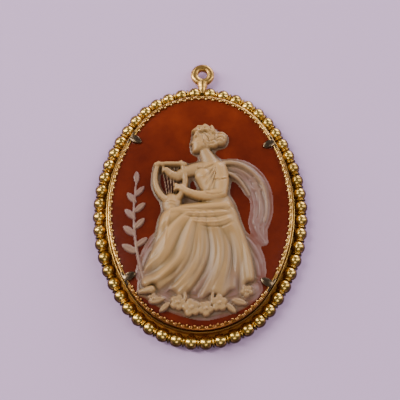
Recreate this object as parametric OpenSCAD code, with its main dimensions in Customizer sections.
// Cameo pendant: an oval carved cameo in a gilt brass cup with a beaded wire border,
// a milled edge, four claws and a hanging eye. It lies on its back, face up, eye towards +Y.

/* [Cameo] */
// Width of the cameo, edge to edge
cameo_w = 30; // [26:0.5:34]
// Height of the cameo, edge to edge
cameo_h = 40; // [36:0.5:46]
// Radius of the two small arcs at the top and bottom of the oval
end_r = 12.6; // [11.6:0.1:13]
// Thickness of the red ground layer at its edge
ground_t = 3; // [2:0.1:3.6]
// How far the middle of the ground stands above that edge
dome_rise = 0.5; // [0.3:0.05:0.7]
// Height of the cream relief above the ground
relief_h = 1.9; // [1.2:0.1:2.6]

/* [Cup] */
// Thickness of the ledge that the cameo sits on
seat_t = 0.6; // [0.5:0.05:1]
// How far the ledge reaches in under the cameo
seat_w = 1.6; // [1:0.1:2.5]
// Thickness of the cup wall round the cameo
wall_t = 0.51; // [0.44:0.01:0.8]
// Width of the thin outer rim
rim_w = 0.24; // [0.1:0.02:0.26]
// Height of that rim above the middle of the beads
rim_h = 2; // [1:0.1:2.4]
// Width of the groove between the rim and the milled edge
groove_w = 0.12; // [0.1:0.01:0.14]
// Depth of that groove below the rim
groove_t = 0.45; // [0.3:0.05:0.6]
// Gap between the cameo and the metal round it
fit = 0.05; // [0.03:0.01:0.08]

/* [Milled edge] */
// Number of teeth round the milled edge, claws included
teeth_n = 88; // [60:1:92]
// Length of one tooth along the edge
tooth_l = 0.74; // [0.5:0.02:0.8]
// Reach of the teeth in over the cameo
tooth_reach = 0.6; // [0.3:0.02:0.7]
// Height of the teeth above the wall's top
tooth_t = 0.26; // [0.15:0.01:0.35]

/* [Beaded border] */
// Number of beads round the border
beads_n = 52; // [44:1:54]
// Diameter of one bead
bead_d = 2.34; // [1.7:0.02:2.4]
// Diameter of the core wire between the beads
core_d = 1.1; // [0.9:0.02:1.5]
// Distance from the cameo's edge to the middle of the bead row
bead_out = 1.84; // [1.64:0.02:2.4]
// Height of the beads' undersides above the back
bead_low = 0.04; // [0:0.02:0.4]
// Extra room between the two top beads, where the eye is soldered
eye_gap = 0.4; // [0.2:0.05:1]
// Thickness of the strip that joins the border to the cup
web_t = 0.6; // [0.4:0.05:0.8]

/* [Hanging eye] */
// Diameter of the hole in the eye
hole_d = 1.7; // [1.4:0.1:2.4]
// Width of the metal round the hole
eye_w = 1.26; // [0.9:0.02:1.4]
// Thickness of the eye
eye_t = 1.1; // [0.9:0.05:1.4]
// Distance from the middle of the bead row to the middle of the eye
eye_out = 3.78; // [3.4:0.02:4.6]
// Diameter of the neck under the eye
neck_d = 1.8; // [1.2:0.05:2]

/* [Claws] */
// Width of each claw
claw_w = 1.6; // [1.4:0.1:2.2]
// Thickness of the claw strip
claw_t = 0.36; // [0.25:0.01:0.45]
// Reach of each claw in over the cameo
claw_reach = 2; // [1.3:0.05:2.4]
// Length of the plain strip left between the teeth at each claw
claw_pad = 2.4; // [2.2:0.1:3]

/* [Hidden] */
$fn = 64;

// The oval is four arcs: small ones of end_r at the top and bottom, large ones at the sides.
half_w = cameo_w / 2;
half_h = cameo_h / 2;
side_off = (pow(half_h - end_r, 2) - pow(half_w - end_r, 2)) / (2 * (half_w - end_r));
side_r = half_w + side_off;
// Direction of the joint between a side arc and an end arc, from the X axis
joint_a = atan2(half_h - end_r, side_off);

// Cross-section of the cup, measured outwards from the cameo's edge
wall_in = fit;
wall_out = wall_in + wall_t;
strip_out = wall_out - rim_w - groove_w;

// The ground's face is flat in the middle and falls away to its edge over slope_w
slope_w = 0.6 * half_w;
slope_steps = 7;
ground_sides = 96;
ground_back_z = seat_t + fit;
edge_z = ground_back_z + ground_t;
// The relief is cut off above the ground by a plate with fewer sides and steps, lifted by relief_gap
cut_steps = 3;
cut_sides = 36;
relief_gap = fit + 0.02;
function face_z(d) = edge_z + dome_rise * (1 - pow(1 - min(d / slope_w, 1), 2));

bead_r = bead_d / 2;
bead_z = bead_low + bead_r;

// The metal that reaches in over the cameo clears the ground's face under it
lip_z = face_z(claw_reach) + fit;
// The teeth and claws sink this far into the wall under them, as soldered metal does
solder = 0.03;
wall_top_z = lip_z + solder;
rim_z = min(bead_z + rim_h, wall_top_z);

eye_r = hole_d / 2 + eye_w;
eye_y = half_h + bead_out + eye_out;

// Length along a quarter of the oval grown outwards by g, and along its small arc alone
function end_len(g) = (end_r + g) * (90 - joint_a) * PI / 180;
function quarter_len(g) = end_len(g) + (side_r + g) * joint_a * PI / 180;

// Place on the first quarter of the grown oval, at the length s from the top: [x, y, outward angle]
function on_quarter(g, s) =
    let (small = s < end_len(g),
         r = (small ? end_r : side_r) + g,
         a = small ? 90 - s / r * 180 / PI : joint_a - (s - end_len(g)) / r * 180 / PI)
    small ? [r * cos(a), half_h - end_r + r * sin(a), a] : [r * cos(a) - side_off, r * sin(a), a];

// Place anywhere on the grown oval, at the length s clockwise from the top
function on_oval(g, s) =
    let (quarter = quarter_len(g),
         q = floor(s / quarter) % 4,
         t = s - floor(s / quarter) * quarter,
         p = on_quarter(g, q % 2 == 0 ? t : quarter - t))
    q == 0 ? p : q == 1 ? [p.x, -p.y, -p[2]] : q == 2 ? [-p.x, -p.y, 180 + p[2]] : [-p.x, p.y, 180 - p[2]];

// Beads are evenly spaced, with eye_gap more between the two at the top
bead_pitch = (4 * quarter_len(bead_out) - eye_gap) / beads_n;
function bead_place(i) = on_oval(bead_out, eye_gap / 2 + bead_pitch * (i + 0.5));

// Claws sit at these shares of the way round, clockwise from the top
CLAW_SHARES = [0.14, 0.372, 0.635, 0.865];
function claw_place(share) = on_oval(0, 4 * quarter_len(0) * share);

// The origin is under the middle of the whole pendant's outline
lowest_y = bead_place(beads_n / 2).y - bead_r;
centre_y = (eye_y + eye_r + lowest_y) / 2;

// The relief's tables hold shares: x of half_w, y of half_h, radii and lengths of half_w, and
// tops of relief_h. They show a seated maiden who plays a lyre, with a scarf, laurel and flowers.

// Strokes of the figure along curves of three points:
// x0, y0, x1, y1, x2, y2, first radius, last radius, first top, last top
FIGURE = [
    // Seat
    [0.36, -0.14, 0.52, -0.28, 0.54, -0.52, 0.15, 0.13, 0.40, 0.26],
    // Thighs and lower legs under the skirt
    [0.22, -0.08, -0.02, -0.07, -0.29, -0.11, 0.20, 0.15, 0.72, 0.86],
    [-0.28, -0.14, -0.33, -0.36, -0.36, -0.60, 0.17, 0.19, 0.82, 0.46],
    [-0.10, -0.17, -0.13, -0.42, -0.14, -0.64, 0.20, 0.22, 0.72, 0.44],
    [0.10, -0.15, 0.12, -0.42, 0.16, -0.63, 0.22, 0.24, 0.68, 0.42],
    [0.26, -0.14, 0.36, -0.36, 0.42, -0.58, 0.19, 0.20, 0.60, 0.36],
    // Folds of the skirt, from the knee round to the back
    [-0.36, -0.12, -0.46, -0.34, -0.57, -0.58, 0.040, 0.075, 0.80, 0.44],
    [-0.34, -0.14, -0.40, -0.38, -0.45, -0.64, 0.035, 0.060, 0.94, 0.56],
    [-0.27, -0.15, -0.30, -0.42, -0.35, -0.68, 0.055, 0.085, 0.96, 0.62],
    [-0.19, -0.20, -0.20, -0.44, -0.22, -0.69, 0.030, 0.050, 0.84, 0.54],
    [-0.16, -0.17, -0.10, -0.40, -0.11, -0.71, 0.035, 0.080, 0.88, 0.62],
    [-0.03, -0.19, 0.02, -0.44, 0.00, -0.70, 0.030, 0.050, 0.76, 0.50],
    [0.02, -0.17, 0.10, -0.40, 0.11, -0.71, 0.040, 0.085, 0.80, 0.60],
    [0.12, -0.17, 0.20, -0.40, 0.23, -0.68, 0.030, 0.050, 0.76, 0.50],
    [0.18, -0.15, 0.30, -0.36, 0.34, -0.67, 0.040, 0.080, 0.78, 0.56],
    [0.25, -0.13, 0.40, -0.32, 0.46, -0.62, 0.030, 0.055, 0.74, 0.46],
    [0.31, -0.10, 0.48, -0.24, 0.57, -0.56, 0.035, 0.080, 0.72, 0.44],
    // Cloth across the lap
    [0.28, -0.01, 0.02, -0.04, -0.33, -0.08, 0.060, 0.040, 0.84, 0.98],
    [0.30, -0.06, 0.02, -0.13, -0.35, -0.12, 0.050, 0.040, 0.84, 0.98],
    [0.32, -0.10, 0.10, -0.21, -0.26, -0.17, 0.055, 0.035, 0.80, 0.92],
    // Torso
    [0.11, 0.31, 0.15, 0.18, 0.16, 0.06, 0.160, 0.125, 0.77, 0.81],
    [0.03, 0.255, 0.05, 0.23, 0.10, 0.15, 0.100, 0.100, 0.92, 0.84],
    [0.16, 0.06, 0.19, 0.01, 0.20, -0.05, 0.140, 0.190, 0.80, 0.78],
    // Neck, face, hair and bun
    [0.05, 0.47, 0.07, 0.42, 0.12, 0.35, 0.062, 0.090, 0.68, 0.72],
    [0.02, 0.590, 0.01, 0.560, 0.00, 0.525, 0.130, 0.095, 0.86, 0.84],
    [-0.095, 0.600, -0.115, 0.582, -0.135, 0.564, 0.026, 0.022, 0.78, 0.76],
    [-0.07, 0.485, -0.07, 0.485, -0.085, 0.492, 0.040, 0.030, 0.78, 0.76],
    [-0.05, 0.665, 0.06, 0.690, 0.12, 0.600, 0.055, 0.090, 0.90, 0.94],
    [0.13, 0.54, 0.10, 0.55, 0.07, 0.60, 0.055, 0.070, 0.84, 0.92],
    [0.22, 0.600, 0.22, 0.590, 0.21, 0.570, 0.070, 0.066, 0.80, 0.78],
    // Far arm, near arm and hands
    [0.00, 0.32, -0.14, 0.31, -0.25, 0.25, 0.080, 0.058, 0.66, 0.62],
    [-0.25, 0.25, -0.32, 0.25, -0.38, 0.30, 0.054, 0.038, 0.62, 0.70],
    [0.19, 0.31, 0.24, 0.21, 0.21, 0.10, 0.100, 0.075, 0.94, 0.98],
    [0.21, 0.10, 0.04, 0.045, -0.14, 0.105, 0.070, 0.042, 1.00, 0.96],
    [-0.14, 0.105, -0.19, 0.125, -0.235, 0.155, 0.042, 0.034, 0.96, 0.88],
    // Lyre: body, two arms and crossbar
    [-0.31, 0.02, -0.31, 0.00, -0.315, -0.02, 0.115, 0.095, 0.78, 0.78],
    [-0.38, 0.04, -0.57, 0.16, -0.47, 0.36, 0.036, 0.028, 0.72, 0.62],
    [-0.25, 0.05, -0.11, 0.18, -0.22, 0.37, 0.036, 0.028, 0.72, 0.62],
    [-0.50, 0.345, -0.35, 0.36, -0.18, 0.350, 0.026, 0.026, 0.72, 0.72],
    // Foot
    [-0.50, -0.660, -0.56, -0.680, -0.62, -0.690, 0.045, 0.030, 0.50, 0.36],
    // Scarf blown out behind the figure
    [0.24, 0.33, 0.46, 0.36, 0.60, 0.20, 0.075, 0.100, 0.44, 0.30],
    [0.60, 0.20, 0.72, 0.06, 0.64, -0.10, 0.100, 0.090, 0.30, 0.22],
    [0.64, -0.10, 0.62, -0.18, 0.70, -0.28, 0.090, 0.030, 0.22, 0.16],
    [0.24, 0.37, 0.48, 0.42, 0.66, 0.22, 0.035, 0.030, 0.54, 0.38],
    [0.26, 0.31, 0.46, 0.30, 0.56, 0.12, 0.030, 0.030, 0.52, 0.38],
    // Ground under the figure
    [-0.55, -0.67, -0.34, -0.80, 0.05, -0.83, 0.075, 0.110, 0.16, 0.18],
    [0.05, -0.83, 0.40, -0.80, 0.56, -0.66, 0.110, 0.090, 0.18, 0.16],
    // Laurel stem
    [-0.57, -0.66, -0.775, -0.24, -0.71, 0.22, 0.022, 0.014, 0.22, 0.14]
];

// Leaves: x, y, direction in degrees, length, top
LEAVES = [
    [-0.675, -0.40, 150, 0.19, 0.17], [-0.69, -0.35, 40, 0.16, 0.18],
    [-0.695, -0.26, 140, 0.18, 0.17], [-0.71, -0.20, 50, 0.16, 0.18],
    [-0.705, -0.12, 135, 0.17, 0.16], [-0.72, -0.06, 45, 0.16, 0.17],
    [-0.705, 0.02, 130, 0.16, 0.15], [-0.72, 0.08, 50, 0.15, 0.16],
    [-0.71, 0.19, 92, 0.15, 0.15],
    [-0.36, -0.77, 195, 0.17, 0.30], [-0.30, -0.80, 222, 0.15, 0.28],
    [0.28, -0.80, -42, 0.15, 0.28], [0.34, -0.77, -15, 0.17, 0.30]
];

// Flowers: x, y, radius, top
FLOWERS = [
    [-0.22, -0.80, 0.085, 0.42], [-0.08, -0.84, 0.095, 0.46], [0.07, -0.845, 0.085, 0.42],
    [0.21, -0.80, 0.090, 0.44], [0.50, -0.70, 0.070, 0.34], [-0.48, -0.755, 0.060, 0.32]
];

// Carries a cross-section round the oval, its X measured outwards from the cameo's edge
module round_oval() {
    for (turn = [0, 180]) rotate([0, 0, turn]) {
        translate([0, half_h - end_r, 0]) rotate([0, 0, joint_a])
            rotate_extrude(angle = 180 - 2 * joint_a) translate([end_r, 0]) children();
        translate([-side_off, 0, 0]) rotate([0, 0, -joint_a])
            rotate_extrude(angle = 2 * joint_a) translate([side_r, 0]) children();
    }
}

// Stands its children at a place on the oval, their X pointing outwards
module stand_at(place) {
    translate([place.x, place.y, 0]) rotate([0, 0, place[2]]) children();
}

// Cup: ledge, wall, milled strip, groove, rim and the web that carries the border
module cup() {
    web_low = bead_z - 0.75 * web_t;
    round_oval() polygon([
        [-seat_w, 0], [wall_out, 0],
        [wall_out, web_low], [bead_out, web_low],
        [bead_out, web_low + web_t], [wall_out, web_low + web_t],
        [wall_out, rim_z], [wall_out - rim_w, rim_z],
        [wall_out - rim_w, rim_z - groove_t], [strip_out, rim_z - groove_t],
        [strip_out, wall_top_z], [wall_in, wall_top_z],
        [wall_in, seat_t], [-seat_w, seat_t]
    ]);
}

// Beaded border: a core wire and the beads on it
module border() {
    round_oval() translate([bead_out, bead_z]) circle(d = core_d);
    for (i = [0 : beads_n - 1]) stand_at(bead_place(i)) translate([0, 0, bead_z]) sphere(d = bead_d);
}

// True where a tooth at the length s round the cameo's edge is clear of every claw's plain strip
function clear_of_claws(s) =
    let (whole = 4 * quarter_len(0))
    min([for (share = CLAW_SHARES) abs(s - whole * share)]) > (claw_pad + tooth_l) / 2;

// Milled edge: small blocks on the strip, reaching in over the cameo
module milled_edge() {
    tooth_pitch = 4 * quarter_len(0) / teeth_n;
    for (i = [0 : teeth_n - 1]) let (s = tooth_pitch * (i + 0.5))
        if (clear_of_claws(s)) stand_at(on_oval(0, s))
            translate([-tooth_reach, -tooth_l / 2, lip_z])
                cube([tooth_reach + strip_out - fit, tooth_l, tooth_t]);
}

// Claws: round-ended strips bent flat over the cameo's edge
module claws() {
    tip_x = claw_w / 2 - claw_reach;
    for (share = CLAW_SHARES) stand_at(claw_place(share)) translate([0, 0, lip_z]) {
        translate([tip_x, 0, 0]) cylinder(d = claw_w, h = claw_t);
        translate([tip_x, -claw_w / 2, 0]) cube([strip_out - tip_x, claw_w, claw_t]);
    }
}

// Eye: a flat ring with a rounded outside, on a neck soldered between the two top beads
module eye() {
    translate([0, eye_y, bead_z]) difference() {
        union() {
            rotate_extrude() {
                translate([eye_r - eye_t / 2, 0]) circle(d = eye_t);
                translate([hole_d / 4, -eye_t / 2]) square([eye_r - eye_t / 2 - hole_d / 4, eye_t]);
            }
            translate([0, -hole_d / 2 - eye_w / 2, 0]) rotate([90, 0, 0])
                cylinder(d = neck_d, h = eye_out - hole_d / 2 - eye_w / 2);
        }
        cylinder(d = hole_d, h = 3 * eye_t, center = true);
    }
}

// Setting: cup, border, milled edge, claws and eye, soldered into one piece
module frame() color("#b98d33") translate([0, -centre_y, 0]) {
    cup();
    border();
    milled_edge();
    claws();
    eye();
}

// Plate of the oval's shape, whose face falls away towards its edge in so many sides and steps
module plate(sides, steps, low, lift) translate([0, -centre_y, 0]) {
    section = concat(
        [for (i = [steps : -1 : 0]) let (d = slope_w * i / steps) [-d, face_z(d) + lift]],
        [[0, low], [-slope_w, low]]);
    n = len(section);
    points = [for (i = [0 : sides - 1], p = section)
        let (place = on_oval(p.x, 4 * quarter_len(p.x) * i / sides)) [place.x, place.y, p.y]];
    polyhedron(points, concat(
        [for (i = [0 : sides - 1], k = [0 : n - 2]) let (next = (i + 1) % sides)
            [i * n + k, i * n + k + 1, next * n + k + 1, next * n + k]],
        [[for (i = [0 : sides - 1]) i * n]],
        [[for (i = [sides - 1 : -1 : 0]) i * n + n - 1]]));
}

// Red ground of the cameo
module cameo_ground() color("#7a2a0c") plate(ground_sides, slope_steps, ground_back_z, 0);

// Blunt peg with a domed head that the relief is built from, standing up through the ground
module peg(x, y, r, top) {
    round_h = min(0.75 * r, 0.9 * top);
    translate([x, y, 0]) {
        cylinder(r = r, h = edge_z + top - round_h);
        cylinder(r = 0.55 * r, h = edge_z + top);
    }
}

// One stroke of the figure: pegs along its curve, each joined to the next
module stroke(row) {
    function at(a, b, c, t) = (1 - t) * (1 - t) * a + 2 * t * (1 - t) * b + t * t * c;
    steps = 3;
    for (k = [0 : steps - 1]) hull() for (t = [k / steps, (k + 1) / steps])
        peg(half_w * at(row[0], row[2], row[4], t), half_h * at(row[1], row[3], row[5], t),
            half_w * (row[6] + (row[7] - row[6]) * t),
            dome_rise + relief_h * (row[8] + (row[9] - row[8]) * t));
}

// One leaf: pointed at both ends, with a ridge along the middle
module leaf(row) {
    size = half_w * row[3];
    low = edge_z + dome_rise + 0.4 * relief_h * row[4];
    translate([half_w * row[0], half_h * row[1], 0]) rotate([0, 0, row[2]]) hull() {
        linear_extrude(low) polygon([[0, 0], [0.4 * size, -0.22 * size], [size, 0], [0.4 * size, 0.22 * size]]);
        translate([0.2 * size, -0.03 * size, 0]) cube([0.5 * size, 0.06 * size, low + 0.5 * relief_h * row[4]]);
    }
}

// One flower: five petals round a raised middle, turned by its place in the table
module flower(i) {
    row = FLOWERS[i];
    size = half_w * row[2];
    top = edge_z + dome_rise + relief_h * row[3];
    translate([half_w * row[0], half_h * row[1], 0]) rotate([0, 0, 31 * i]) {
        linear_extrude(top, scale = 0.85)
            polygon([for (a = [0 : 18 : 342]) size * (0.78 + 0.22 * cos(5 * a)) * [cos(a), sin(a)]]);
        cylinder(r = 0.3 * size, h = top + 0.15 * size, $fn = 7);
    }
}

// Cream relief of the cameo: the figure, less the ground it lies on and a small gap
module cameo_relief() color("#c2a582") difference() {
    translate([0, -centre_y, 0]) union() {
        for (row = FIGURE) stroke(row, $fn = 8);
        for (row = LEAVES) leaf(row);
        for (i = [0 : len(FLOWERS) - 1]) flower(i);
    }
    plate(cut_sides, cut_steps, -1, relief_gap);
}

frame();
cameo_ground();
cameo_relief();
